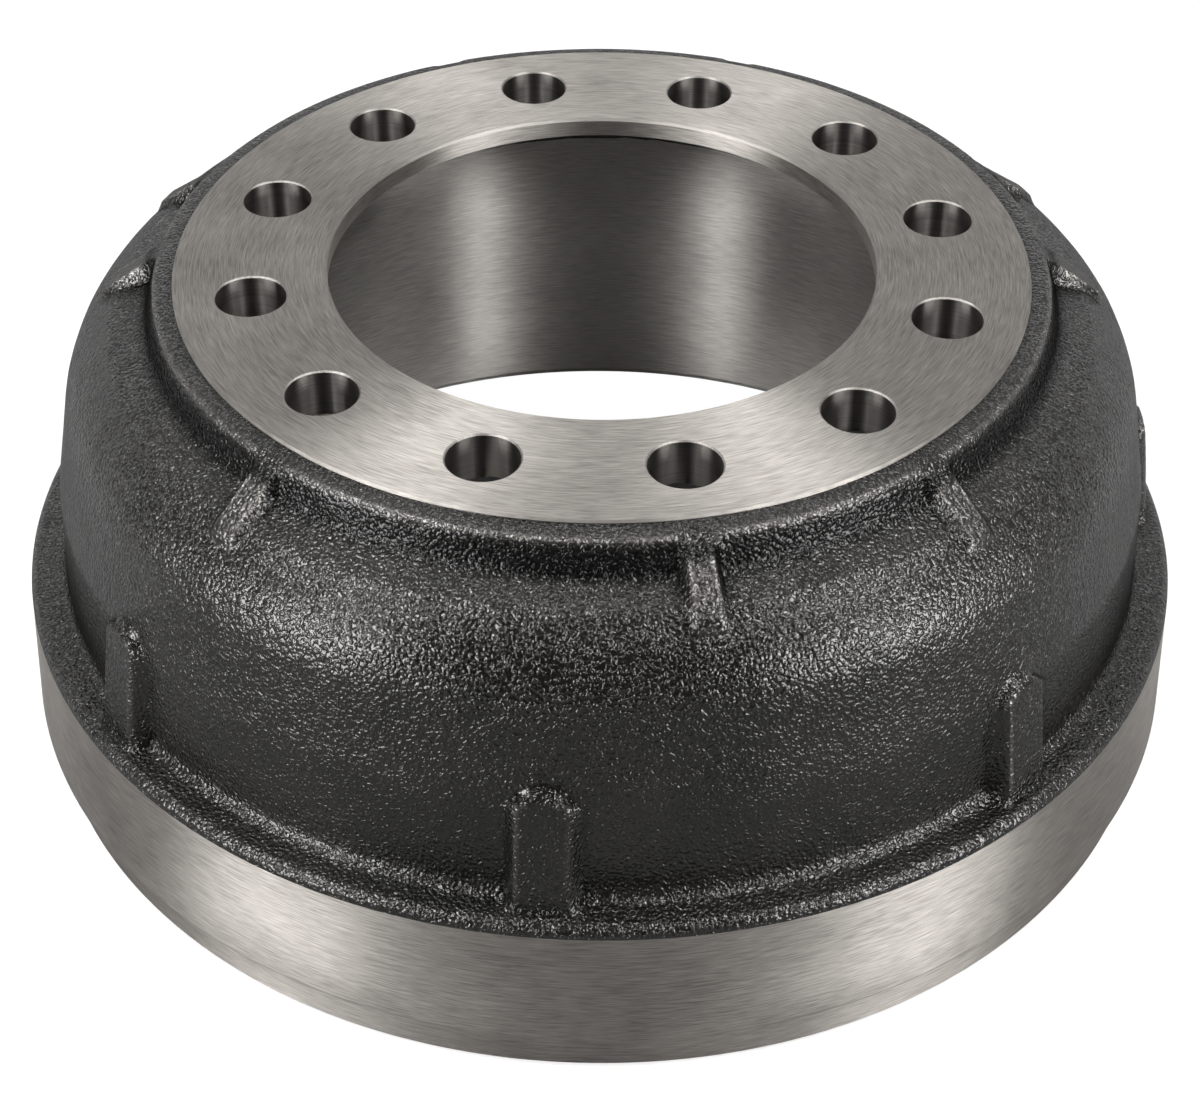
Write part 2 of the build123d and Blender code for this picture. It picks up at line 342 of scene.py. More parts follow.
def unevenness(angles, run, seed, size):
    """size / 1.6 * the sum of n^-0.55 * cos(n * angle + k * run + phase) over the counts n in
    WAVES_ROUND, with a random phase and a random k up to 0.02 * n^0.75 radians per millimetre. The
    sum's highest places reach about 1.6."""
    rng = np.random.default_rng(seed)
    total = np.zeros(np.broadcast(angles, run).shape)
    for around in WAVES_ROUND:
        along = rng.uniform(-1, 1) * 0.02 * around**0.75
        strength = around**-0.55
        total = total + strength * np.cos(around * angles + along * run + rng.uniform(0, 2 * np.pi))
    return size * total / 1.6


row = np.arange(rows)
fade = np.clip(np.minimum(row / TOP_FADE_ROWS, (rows - 1 - row) / FOOT_FADE_ROWS), 0, 1)
run = np.concatenate([[0], np.cumsum(np.linalg.norm(np.diff(cast_sections[:, 0], axis=0), axis=1))])
moved = unevenness(round_axis[None, :], run[:, None], UNEVEN_SEED, UNEVENNESS) * fade[:, None]
cast_sections = cast_sections + moved[..., None] * OUT_AND_UP
print("the skin moves by", moved.min().round(2), "to", moved.max().round(2), "mm")

# %% [markdown]
# The hub flange has twelve round holes. Each hole gets its own sector of the flange, filled with
# rings that start as the hole's circle and end as the sector's outline. The sectors share their
# borders with each other and with the turned surfaces, so the skin closes without a seam.


# %% Draw rings between a circle and an outline
def sector_outline(angles, inner, outer, side_steps):
    """Outline of one sector, once round: the outer arc, one side, the inner arc and the other side."""
    across = np.linspace(outer, inner, side_steps + 1)[1:-1]
    radius = np.concatenate([
        np.full(len(angles), outer), across, np.full(len(angles), inner), across[::-1]])
    turn = np.concatenate([
        angles, np.full(len(across), angles[-1]), angles[::-1], np.full(len(across), angles[0])])
    return np.stack([radius * np.cos(turn), radius * np.sin(turn)], axis=-1)


def rings(circle, outline, shares):
    """Rings between a circle and an outline: circle + share * (outline - circle)."""
    shares = np.array(shares)[:, None, None]
    return circle[None] + shares * (outline - circle)[None]


def at_height(flat, height):
    """Flat places with their height, or one height for all of them, added as the third number."""
    return np.concatenate([flat, np.broadcast_to(height, (*flat.shape[:-1], 1))], axis=-1)


def underside_height(radius):
    """Height of the flange's underside: level, then rising along a cone towards the pilot land."""
    return np.interp(
        radius, [PILOT_R + PILOT_STEP, RELIEF_R], [HEIGHT - PILOT_LAND, HEIGHT - FLANGE_T])


print("flange", HEIGHT - underside_height(UNDERSIDE_R), "mm thick, and at the pilot", PILOT_LAND, "mm")

# %% [markdown]
# A hole has four surfaces: the face round its mouth, the underside round its foot, its wall, and the
# chamfer between the face and the wall. Spokes from the hole's centre to the outline's points give
# all four the same points, so they meet exactly.

# %% Fill the flange round its holes
SHARES = (0.0, 0.1, 0.4, 1.0)
SIDE_STEPS, WALL_ROWS = 6, 4


def drilled_sector(centre_angle):
    """The face, the underside, the wall and the chamfer of one hole, each closed round the hole."""
    centre = HOLE_CIRCLE_R * np.array([math.cos(centre_angle), math.sin(centre_angle)])
    offset = np.mod(columns - centre_angle + np.pi, 2 * np.pi) - np.pi
    inside = np.abs(offset) < math.radians(HOLE_PITCH / 2) + 1e-9
    angles = centre_angle + np.sort(offset[inside])
    face = sector_outline(angles, PILOT_R + PILOT_CHAMFER, FACE_R - FACE_CHAMFER, SIDE_STEPS)
    under = sector_outline(angles, PILOT_R + PILOT_STEP, UNDERSIDE_R, SIDE_STEPS)
    aim = np.arctan2(*(face - centre).T[::-1])
    spoke = np.stack([np.cos(aim), np.sin(aim)], axis=-1)
    wide, narrow = centre + spoke * (HOLE_R + HOLE_CHAMFER), centre + spoke * HOLE_R
    flat = rings(narrow, under, SHARES)
    fall = np.linspace(0, 1, WALL_ROWS)[:, None]
    foot = underside_height(np.linalg.norm(narrow, axis=-1))
    heights = (1 - fall) * (HEIGHT - HOLE_CHAMFER) + fall * foot
    surfaces = (
        at_height(rings(wide, face, SHARES), HEIGHT),
        at_height(flat, underside_height(np.linalg.norm(flat, axis=-1, keepdims=True))),
        at_height(np.broadcast_to(narrow, (WALL_ROWS, *narrow.shape)), heights[..., None]),
        np.stack([at_height(wide, HEIGHT), at_height(narrow, HEIGHT - HOLE_CHAMFER)]),
    )
    return [np.concatenate([grid, grid[:, :1]], axis=1) for grid in surfaces]


hole_angles = [math.radians(FIRST_HOLE + HOLE_PITCH * k) for k in range(HOLE_COUNT)]
top_rings, under_rings, walls, mouths = zip(*[drilled_sector(angle) for angle in hole_angles])
print("points round each hole", [len(wall[0]) - 1 for wall in walls])

# %% [markdown]
# Everything else is a section carried round the axis, so each stretch becomes a grid of points, with
# one row for each point of the section and one column for each angle. Each grid keeps the number of
# its finish, so the boundary between cast and turned iron falls on a real edge.

# %% Carry the sections round the axis
CAST, TURNED, DRILLED, FRICTION, EDGE = range(5)


def swept(sections, angles):
    """Every section point at every angle: (radius cos angle, radius sin angle, height)."""
    radius, height = sections[..., 0], sections[..., 1]
    return np.stack([radius * np.cos(angles), radius * np.sin(angles), height], axis=-1)


def carried_round(section):
    """One section, the same at every column."""
    return swept(straight(section, round_axis), round_axis)


grids = [
    (carried_round(flange_edge[:2]), EDGE),
    (carried_round(flange_edge[1:3]), TURNED),
    (carried_round(flange_edge[2:]), CAST),
    (swept(cast_sections, round_axis), CAST),
    (carried_round(ledge_edge[-2:]), CAST),
    (carried_round(band[:-2]), TURNED),
    (carried_round(band[-3:]), EDGE),
    (carried_round(lip), TURNED),
    (carried_round(friction), FRICTION),
    (carried_round(bell), CAST),
    (carried_round(pilot[:3]), TURNED),
    (carried_round(pilot[2:]), EDGE),
]
for surfaces, finish in ((top_rings, TURNED), (under_rings, CAST), (walls, DRILLED), (mouths, EDGE)):
    grids += [(grid, finish) for grid in surfaces]
print("grids", len(grids))

# %% [markdown]
# All the grids become one mesh. Its faces are squares between neighbouring rows and columns. A UV map
# keeps each corner's column and row, which the walls of the holes need later: there it says which way
# is round the hole.


# %% Turn the grids into a mesh
def grid_faces(down, across, first):
    """Corner numbers of the quads of a grid whose points are numbered row by row from first."""
    corner = first + np.arange(down - 1)[:, None] * across + np.arange(across - 1)[None, :]
    return np.stack([corner, corner + 1, corner + across + 1, corner + across], axis=-1).reshape(-1, 4)


def mesh_from_grids(name, grids):
    """One mesh of all the grids, in metres, with each face's finish number."""
    shapes = [grid.shape[:2] for grid, finish in grids]
    points = np.concatenate([grid.reshape(-1, 3) for grid, finish in grids]) * MM
    starts = np.cumsum([0] + [down * across for down, across in shapes])
    faces = [grid_faces(down, across, first) for (down, across), first in zip(shapes, starts)]
    finishes = np.concatenate([
        np.full(len(quads), finish) for quads, (grid, finish) in zip(faces, grids)])
    laid = np.concatenate([
        np.stack(np.meshgrid(np.arange(across), np.arange(down)), axis=-1).reshape(-1, 2)
        for down, across in shapes])
    quads = np.concatenate(faces)
    mesh = bpy.data.meshes.new(name)
    mesh.vertices.add(len(points))
    mesh.vertices.foreach_set("co", points.ravel())
    mesh.loops.add(quads.size)
    mesh.loops.foreach_set("vertex_index", quads.ravel())
    mesh.polygons.add(len(quads))
    mesh.polygons.foreach_set("loop_start", np.arange(0, quads.size, 4))
    mesh.polygons.foreach_set("loop_total", np.full(len(quads), 4))
    mesh.polygons.foreach_set("material_index", finishes)
    mesh.update(calc_edges=True)
    uv = laid[quads.ravel()].astype(float)
    mesh.uv_layers.new(name="grid").data.foreach_set("uv", uv.ravel())
    return mesh


drum_mesh = mesh_from_grids("brake_drum_casting", grids)
print("squares", len(drum_mesh.polygons))

# %% [markdown]
# Neighbouring grids have their own points along a shared edge. Points that lie on each other are
# merged, which closes the skin, and the normals are then worked out again, so that every face points
# away from the iron. The shading is smooth, except where the surface really turns a corner.

# %% Close the skin
MERGE_DISTANCE = 0.01 * MM
CORNER_ANGLE = 28.0


def close_skin(mesh, distance):
    """Merges points closer than distance, turns every face outwards and counts the open edges."""
    shell = bmesh.new()
    shell.from_mesh(mesh)
    bmesh.ops.remove_doubles(shell, verts=shell.verts, dist=distance)
    bmesh.ops.dissolve_degenerate(shell, edges=shell.edges, dist=distance)
    bmesh.ops.recalc_face_normals(shell, faces=shell.faces)
    open_edges = sum(1 for edge in shell.edges if len(edge.link_faces) != 2)
    shell.to_mesh(mesh)
    shell.free()
    return open_edges


def put_in_scene(name, data):
    """A new object that holds the data, in the scene."""
    made = bpy.data.objects.new(name, data)
    bpy.context.scene.collection.objects.link(made)
    return made


open_edges = close_skin(drum_mesh, MERGE_DISTANCE)
drum_mesh.shade_smooth()
drum_mesh.set_sharp_from_angle(angle=math.radians(CORNER_ANGLE))
drum = put_in_scene("brake_drum_casting", drum_mesh)
drum_mesh.calc_loop_triangles()
print("open edges", open_edges, "triangles", len(drum_mesh.loop_triangles))

# %% [markdown]
# Handling and shot-blasting rub a casting where it stands out: along the edges of its ribs, lugs and
# ledge. The lighter colour put there is partly that wear and partly a painted highlight, for the light
# that such edges catch. Where the surface turns inwards, at the feet, the colour is painted dark: a
# painted shade for the shadow in those hollows. Both kinds of place are found by how quickly the
# surface turns there, and both numbers are kept on every point, so that the cast skin can be brighter
# on the one and darker and duller on the other. The ribs are narrow, so their whole tops are made a
# little lighter, partly as wear and partly as a painted highlight, which their share of full height
# tells.

# %% Find the rubbed and lit edges and the feet in painted shade
RUBBED_AND_LIT_FROM, RUBBED_AND_LIT_FULLY = 250.0, 550.0  # one over the rounding: 4.0 and 1.8 mm
PAINTED_SHADE_FROM, PAINTED_SHADE_FULLY = 150.0, 500.0  # 6.7 and 2.0 mm
SHORT_STEP = 0.8 * MM
RIB_TOP_WEAR_AND_LIGHT = 0.18


def points_and_normals(mesh):
    """Every point's place, in metres, and the direction in which the skin faces there."""
    places, normals = np.empty((2, len(mesh.vertices) * 3))
    mesh.vertices.foreach_get("co", places)
    mesh.vertex_normals.foreach_get("vector", normals)
    return places.reshape(-1, 3), normals.reshape(-1, 3)


def turning(mesh, direction, least, most):
    """How sharply the skin turns outwards (direction 1) or inwards (-1), as a share of the way from
    least to most.

    Along each mesh edge the turn is (normal at its end - normal at its start) . step / |step|^2, which
    is one over the rounding there, per metre. Steps shorter than SHORT_STEP divide by that length once
    instead. A point takes the largest turn of the edges that meet in it.
    """
    places, normals = points_and_normals(mesh)
    ends = np.empty(len(mesh.edges) * 2, dtype=int)
    mesh.edges.foreach_get("vertices", ends)
    start, end = ends.reshape(-1, 2).T
    step, turned = places[end] - places[start], normals[end] - normals[start]
    length = np.linalg.norm(step, axis=1)
    sharpness = direction * (turned * step).sum(axis=1) / (length * np.maximum(length, SHORT_STEP))
    largest = np.zeros(len(places))
    np.maximum.at(largest, start, sharpness)
    np.maximum.at(largest, end, sharpness)
    return np.clip((largest - least) / (most - least), 0, 1)


def on_rib_tops(mesh):
    """The ribs' share of full height at each point of the groove's floor, and 0 everywhere else."""
    places, normals = points_and_normals(mesh)
    x, y = places.T[:2] / MM
    radius = np.hypot(x, y)
    in_groove = (radius > GROOVE_R + 2.0) & (radius < groove_plain[-1][0]) & (normals[:, 2] > 0.1)
    return share_of_pad(np.arctan2(y, x), RIB_ANGLES, radius, RIB_FLANK, 0.0) * in_groove


# Lighter edges and rib tops are partly wear and partly a painted highlight; darker feet are painted
# shade.
rubbed_and_lit_edges = turning(drum_mesh, 1, RUBBED_AND_LIT_FROM, RUBBED_AND_LIT_FULLY)
wear_and_glint = np.maximum(rubbed_and_lit_edges, RIB_TOP_WEAR_AND_LIGHT * on_rib_tops(drum_mesh))
painted_hollow_shade = turning(drum_mesh, -1, PAINTED_SHADE_FROM, PAINTED_SHADE_FULLY)
for name, share in (("wear_and_glint", wear_and_glint), ("painted_hollow_shade", painted_hollow_shade)):
    drum_mesh.attributes.new(name, "FLOAT", "POINT").data.foreach_set("value", share)
    print("points with", name, int((share > 0.5).sum()), "of", len(share))

# %% [markdown]
# Colours are written as the hex values that a screen shows. Blender's shaders work in linear light,
# so one function turns the one into the other. Another small one adds a node to a material, and the
# rest are two steps that several materials share.


# %% Small tools for materials
def linear(hex_colour):
    """Linear colour of an sRGB hex value: ((c + 0.055) / 1.055) ^ 2.4 for each channel c above
    0.04045, and c / 12.92 below."""
    channels = np.array([int(hex_colour[i:i + 2], 16) for i in (1, 3, 5)]) / 255
    curved = np.where(channels > 0.04045, ((channels + 0.055) / 1.055) ** 2.4, channels / 12.92)
    return (*curved.tolist(), 1.0)


def grey(share):
    """The grey that sends back this share of the light."""
    return (share, share, share, 1.0)


def add(tree, kind, inputs, **settings):
    """Adds a node; settings are its own choices, and inputs maps its sockets to values or outputs."""
    made = tree.nodes.new(kind)
    for name, value in settings.items():
        setattr(made, name, value)
    for socket, value in inputs.items():
        if isinstance(value, bpy.types.NodeSocket):
            tree.links.new(value, made.inputs[socket])
        else:
            made.inputs[socket].default_value = value
    return made


def new_material(name):
    """An empty material with its tree and its output node."""
    material = bpy.data.materials.new(name)
    material.use_nodes = True
    material.node_tree.nodes.clear()
    return material, material.node_tree, material.node_tree.nodes.new("ShaderNodeOutputMaterial")


def from_axis(tree, place):
    """Distance from the drum's axis: the length of the place, with its height left out."""
    split = add(tree, "ShaderNodeSeparateXYZ", {0: place}).outputs
    level = add(tree, "ShaderNodeCombineXYZ", {0: split[0], 1: split[1]}).outputs[0]
    return add(tree, "ShaderNodeVectorMath", {0: level}, operation="LENGTH").outputs["Value"]


def seen_plainly(tree, ray):
    """1 for rays that come from the camera, or that pass through something clear, and 0 for others."""
    return add(tree, "ShaderNodeMath", {
        0: ray["Is Camera Ray"], 1: ray["Is Transmission Ray"]}, operation="MAXIMUM").outputs[0]


print("middle grey in linear light", round(linear("#808080")[0], 3))

# %% [markdown]
# Sand-cast grey iron keeps the print of the sand: rounded grains with short, curled ridges between
# them. The ridges are where one soft noise passes its middle value, broken up by another. All this is
# bump, because it is far finer than the mesh; the long waves are in the mesh itself. Real grains are
# about half a millimetre wide. Here they are two to three millimetres apart, so that they still show
# in the picture. The barrel's side is a little smoother than the shoulder and the ledge.

# %% Sand-cast grey iron: its grain
GRAINS, CURLS, SWELLS = 700.0, 560.0, 120.0  # noise cells per metre, of 1.4, 1.8 and 8.3 mm
SPACING = 1.7  # the bumps of a noise stand about this many of its cells apart
RIDGE_REACH, RIDGE_HEIGHT, SWELL_HEIGHT = 0.15, 0.3, 0.7  # beside grains of height 1
GRAIN_DEPTH = 0.52 * MM
SMOOTH_SIDE, SIDE_FOOT, SIDE_TOP = 0.75, (79.0, 88.0), (125.0, 165.0)
cast_iron, tree, out = new_material("sand_cast_grey_iron")
place = add(tree, "ShaderNodeTexCoord", {}).outputs["Object"]
grain = add(tree, "ShaderNodeTexNoise", {
    "Vector": place, "Scale": GRAINS, "Detail": 0.0, "Distortion": 0.3}).outputs[0]
curls = add(tree, "ShaderNodeTexNoise", {
    "Vector": place, "Scale": CURLS, "Detail": 0.0, "Distortion": 0.4}).outputs[0]
centred = add(tree, "ShaderNodeMath", {0: curls, 1: 0.5}, operation="SUBTRACT").outputs[0]
beside = add(tree, "ShaderNodeMath", {0: centred}, operation="ABSOLUTE").outputs[0]
ridge = add(tree, "ShaderNodeMapRange", {
    "Value": beside, "From Min": 0.0, "From Max": RIDGE_REACH, "To Min": 1.0, "To Max": 0.0},
    interpolation_type="SMOOTHSTEP").outputs[0]
broken = add(tree, "ShaderNodeMapRange", {
    "Value": grain, "From Min": 0.42, "From Max": 0.56}).outputs[0]
ridge = add(tree, "ShaderNodeMath", {0: ridge, 1: broken}, operation="MULTIPLY").outputs[0]
swells = add(tree, "ShaderNodeTexNoise", {
    "Vector": place, "Scale": SWELLS, "Detail": 0.0}).outputs[0]
rolling = add(tree, "ShaderNodeMath", {
    0: swells, 1: SWELL_HEIGHT, 2: grain}, operation="MULTIPLY_ADD").outputs[0]
height = add(tree, "ShaderNodeMath", {
    0: ridge, 1: RIDGE_HEIGHT, 2: rolling}, operation="MULTIPLY_ADD").outputs[0]
level = add(tree, "ShaderNodeSeparateXYZ", {0: place}).outputs[2]
above = add(tree, "ShaderNodeMapRange", {
    "Value": level, "From Min": SIDE_TOP[0] * MM, "From Max": SIDE_TOP[1] * MM,
    "To Min": SMOOTH_SIDE, "To Max": 1.0}).outputs[0]
below = add(tree, "ShaderNodeMapRange", {
    "Value": level, "From Min": SIDE_FOOT[0] * MM, "From Max": SIDE_FOOT[1] * MM,
    "To Min": 1.0, "To Max": SMOOTH_SIDE}).outputs[0]
coarse = add(tree, "ShaderNodeMath", {0: above, 1: below}, operation="MAXIMUM").outputs[0]
bump = add(tree, "ShaderNodeBump", {
    "Height": height, "Strength": coarse, "Distance": GRAIN_DEPTH}).outputs[0]
print("grain spacing about", round(SPACING * 1000 / GRAINS, 1), "mm")

# %% [markdown]
# The iron is nearly black. Its ridges and some patches are a little lighter, and its rubbed edges
# show bare grey metal on the tops of the grains, which also serves as a painted highlight on those
# edges. The feet of the ribs and lugs, and the wall of the groove under the flange, are painted as
# black as soot: painted shade for the shadow that falls in those hollows.

# %% Sand-cast grey iron: its colour
BLACK_IRON, GREY_IRON, BARE_IRON_AND_GLINT, PAINTED_SHADE_BLACK = "#151414", "#393735", "#98948f", "#131312"
PAINTED_SHADE_BEYOND_GROOVE, PAINTED_SHADE_UNDER_FACE = (0.5, 4.0), (6.5, 3.5)
patches = add(tree, "ShaderNodeTexNoise", {
    "Vector": place, "Scale": 25.0, "Detail": 3.0}).outputs[0]  # patches of about 70 mm
lighter = add(tree, "ShaderNodeMath", {
    0: ridge, 1: 0.5, 2: patches}, operation="MULTIPLY_ADD").outputs[0]
skin = add(tree, "ShaderNodeMix", {
    "Factor": lighter, 6: linear(BLACK_IRON), 7: linear(GREY_IRON)}, data_type="RGBA").outputs[2]
# The rubbed edges and rib tops are lighter bare metal: partly wear, partly a painted highlight.
edges = add(tree, "ShaderNodeAttribute", {}, attribute_name="wear_and_glint").outputs["Fac"]
worn_and_glinting = add(tree, "ShaderNodeMath", {0: edges, 1: grain}, operation="MULTIPLY").outputs[0]
rubbed_and_lit_skin = add(tree, "ShaderNodeMix", {
    "Factor": worn_and_glinting, 6: skin, 7: linear(BARE_IRON_AND_GLINT)}, data_type="RGBA").outputs[2]
# Painted shade: the groove's wall under the flange and the feet of ribs and lugs are made nearly black.
near = add(tree, "ShaderNodeMapRange", {
    "Value": from_axis(tree, place), "From Min": (GROOVE_R + PAINTED_SHADE_BEYOND_GROOVE[0]) * MM,
    "From Max": (GROOVE_R + PAINTED_SHADE_BEYOND_GROOVE[1]) * MM, "To Min": 1.0, "To Max": 0.0}).outputs[0]
under_rim = add(tree, "ShaderNodeMapRange", {
    "Value": level, "From Min": (HEIGHT - PAINTED_SHADE_UNDER_FACE[0]) * MM,
    "From Max": (HEIGHT - PAINTED_SHADE_UNDER_FACE[1]) * MM, "To Min": 1.0, "To Max": 0.0}).outputs[0]
wall = add(tree, "ShaderNodeMath", {0: near, 1: under_rim}, operation="MULTIPLY").outputs[0]
foot = add(tree, "ShaderNodeAttribute", {}, attribute_name="painted_hollow_shade").outputs["Fac"]
painted_shade = add(tree, "ShaderNodeMath", {0: wall, 1: foot}, operation="MAXIMUM").outputs[0]
colour = add(tree, "ShaderNodeMix", {
    "Factor": painted_shade, 6: rubbed_and_lit_skin, 7: linear(PAINTED_SHADE_BLACK)}, data_type="RGBA").outputs[2]
print("cast iron from", BLACK_IRON, "to", GREY_IRON, "and where it is rubbed", BARE_IRON_AND_GLINT)

# %% [markdown]
# The iron itself is dull, and the thin scale that the mould leaves on it gleams like a film, so the
# eye sees bright curls on a dark ground wherever a lamp stands near the mirror's direction. The scale
# is the shader's coat. In the painted shade at the feet and under the flange there is only half as
# much of it, which darkens those places further. It also fades where the skin is seen edge on,
# because real grains hide each other there.

# %% Sand-cast grey iron: its gloss
# Less coat where the shade is painted, so those places look darker still.
scale = add(tree, "ShaderNodeMapRange", {
    "Value": painted_shade, "To Min": 1.0, "To Max": 0.5}).outputs[0]
edge_on = add(tree, "ShaderNodeLayerWeight", {"Blend": 0.5}).outputs["Facing"]
unhidden = add(tree, "ShaderNodeMapRange", {
    "Value": edge_on, "From Min": 0.6, "From Max": 0.9, "To Min": 1.0, "To Max": 0.3}).outputs[0]
film = add(tree, "ShaderNodeMath", {0: scale, 1: unhidden}, operation="MULTIPLY").outputs[0]
shader = add(tree, "ShaderNodeBsdfPrincipled", {
    "Base Color": colour, "Metallic": 0.9, "Roughness": 0.4, "Specular Tint": grey(0.25),
    "Coat Weight": film, "Coat Roughness": 0.13, "Normal": bump, "Coat Normal": bump})
tree.links.new(shader.outputs[0], out.inputs[0])
print("coat roughness", round(shader.inputs["Coat Roughness"].default_value, 2))

# %% [markdown]
# Turned grey iron shows the tool's path: fine rings round the axis. They stretch every highlight
# across themselves, which makes the bright streaks from the bore outwards and up the band. The rings
# follow the distance from the axis on the flat face and the height on the upright walls, so their sum
# serves both. Real rings are about 0.3 mm apart. Here they are 0.6 mm apart, and 0.85 mm on the
# friction surface, so that they show. Along its length a ring comes and goes every 17 mm or so.

# %% Turned grey iron
ALONG_RING, FACE_RINGS, BRAKE_RINGS = 100.0, 2800.0, 2000.0  # noise cells per metre
RING_DEPTH = 0.06 * MM


def turned_iron(name, dark, light, roughness, rings_per_metre, stretch):
    """Grey iron cut on a lathe: ring lines as a noise that is long round the axis and short across."""
    material, tree, out = new_material(name)
    place = add(tree, "ShaderNodeTexCoord", {}).outputs["Object"]
    x, y, z = add(tree, "ShaderNodeSeparateXYZ", {0: place}).outputs
    across = add(tree, "ShaderNodeMath", {0: from_axis(tree, place), 1: z}, operation="ADD").outputs[0]
    stretched = [add(tree, "ShaderNodeMath", {0: value, 1: times}, operation="MULTIPLY").outputs[0]
                 for value, times in ((x, ALONG_RING), (y, ALONG_RING), (across, rings_per_metre))]
    laid = add(tree, "ShaderNodeCombineXYZ", dict(enumerate(stretched))).outputs[0]
    lines = add(tree, "ShaderNodeTexNoise", {
        "Vector": laid, "Scale": 1.0, "Detail": 2.0, "Roughness": 0.6}).outputs[0]
    patches = add(tree, "ShaderNodeTexNoise", {
        "Vector": place, "Scale": 30.0, "Detail": 2.0}).outputs[0]
    tone = add(tree, "ShaderNodeMath", {
        0: patches, 1: 0.35, 2: lines}, operation="MULTIPLY_ADD").outputs[0]
    share = add(tree, "ShaderNodeMapRange", {
        "Value": tone, "From Min": 0.46, "From Max": 0.90}).outputs[0]
    colour = add(tree, "ShaderNodeMix", {
        "Factor": share, 6: linear(dark), 7: linear(light)}, data_type="RGBA").outputs[2]
    bump = add(tree, "ShaderNodeBump", {
        "Height": lines, "Strength": 0.5, "Distance": RING_DEPTH}).outputs[0]
    tangent = add(tree, "ShaderNodeTangent", {}, direction_type="RADIAL", axis="Z").outputs[0]
    shader = add(tree, "ShaderNodeBsdfPrincipled", {
        "Base Color": colour, "Metallic": 1.0, "Roughness": roughness, "Anisotropic": stretch,
        "Anisotropic Rotation": 0.25, "Tangent": tangent, "Normal": bump})
    tree.links.new(shader.outputs[0], out.inputs[0])
    return material


face_iron = turned_iron("turned_grey_iron", "#908c87", "#c9c4be", 0.42, FACE_RINGS, 0.9)
# The friction surface is painted much lighter than the face: painted light, because few lamps reach
# inside the drum.
brake_iron_painted_lighter = turned_iron(
    "friction_surface_grey_iron_painted_lighter", "#bcb8b3", "#e6e1db", 0.38, BRAKE_RINGS, 1.0)
for rings_per_metre in (FACE_RINGS, BRAKE_RINGS):
    print("rings about", round(SPACING * 1000 / rings_per_metre, 2), "mm apart")

# %% [markdown]
# The narrow chamfers were cut last, with another tool. They stand at a slant to the faces beside them
# and their rings stretch the light less, so each one draws a thin, even line round its machined edge.

# %% Burnished edges
edge_iron = turned_iron("burnished_edge_grey_iron", "#8b8782", "#aaa6a1", 0.5, FACE_RINGS, 0.5)
print("edges", edge_iron.name)

# %% [markdown]
# A drill leaves rings too, but round the hole's own axis, so the highlight's direction comes from the
# grid's UV map. The wall is darker, because little light gets in. Real rings are about 0.4 mm apart.
# Here they are about a millimetre apart, so that they show.

# %% Drilled grey iron
DRILL_RINGS = 1500.0  # noise cells per metre
drilled_iron, tree, out = new_material("drilled_grey_iron")
place = add(tree, "ShaderNodeTexCoord", {}).outputs["Object"]
laid = add(tree, "ShaderNodeMapping", {
    "Vector": place, "Scale": (25.0, 25.0, DRILL_RINGS)}).outputs[0]
lines = add(tree, "ShaderNodeTexNoise", {"Vector": laid, "Scale": 1.0, "Detail": 3.0}).outputs[0]
colour = add(tree, "ShaderNodeMix", {
    "Factor": lines, 6: linear("#5f5c59"), 7: linear("#8f8b87")}, data_type="RGBA").outputs[2]
bump = add(tree, "ShaderNodeBump", {
    "Height": lines, "Strength": 0.3, "Distance": 0.05 * MM}).outputs[0]
round_hole = add(tree, "ShaderNodeTangent", {}, direction_type="UV_MAP", uv_map="grid").outputs[0]
shader = add(tree, "ShaderNodeBsdfPrincipled", {
    "Base Color": colour, "Metallic": 1.0, "Roughness": 0.38, "Anisotropic": 0.95,
    "Anisotropic Rotation": 0.25, "Tangent": round_hole, "Normal": bump})
tree.links.new(shader.outputs[0], out.inputs[0])
print("drill rings about", round(SPACING * 1000 / DRILL_RINGS, 1), "mm apart")

# %% [markdown]
# The finished skin takes its five finishes, in the order of their numbers, and stands for the packed
# solid, which stays hidden.

# %% Dress the drum
for material in (cast_iron, face_iron, drilled_iron, brake_iron_painted_lighter, edge_iron):
    drum_mesh.materials.append(material)
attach(drum, "root")
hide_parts("brake_drum")
print("finishes", [material.name for material in drum_mesh.materials])

# %% [markdown]
# The photograph shows the drum on plain white, and yet its front is dark, as if a dark sheet lay before
# it, just out of the picture. The floor here is one matt sheet. The camera sees it white, and so do
# rays that pass through glass. All other light finds it pale behind the drum, where the lamps turn it
# white, so the metal shows that white too, and dark in front. The floor keeps the drum's faint shadow.
# Inside the drum the photograph shows white through the pilot bore, where the lamps can't reach, so
# that patch glows with its own white, a painted light, and so does the floor farther than a metre away,
# which the lamps leave dim. The rest of the floor under the drum is painted nearly black for the
# camera, a painted shade, as it is in the bolt holes.

# %% Floor and background
FLOOR_REACH, FLOOR_HEIGHT = 4.0, -0.0002
CARD_FRONT, CARD_BACK, CARD_DARK, CARD_PALE = -0.2, 0.2, 0.2, 0.55
PATCH_CENTRE, PATCH_R = (0.0, 0.27, 0.0), 0.12
FAR_FROM, FAR_FULLY = 0.6, 1.1


def flat_sheet(name, corners):
    """A mesh with one face."""
    mesh = bpy.data.meshes.new(name)
    mesh.from_pydata(corners, [], [(0, 1, 2, 3)])
    return mesh


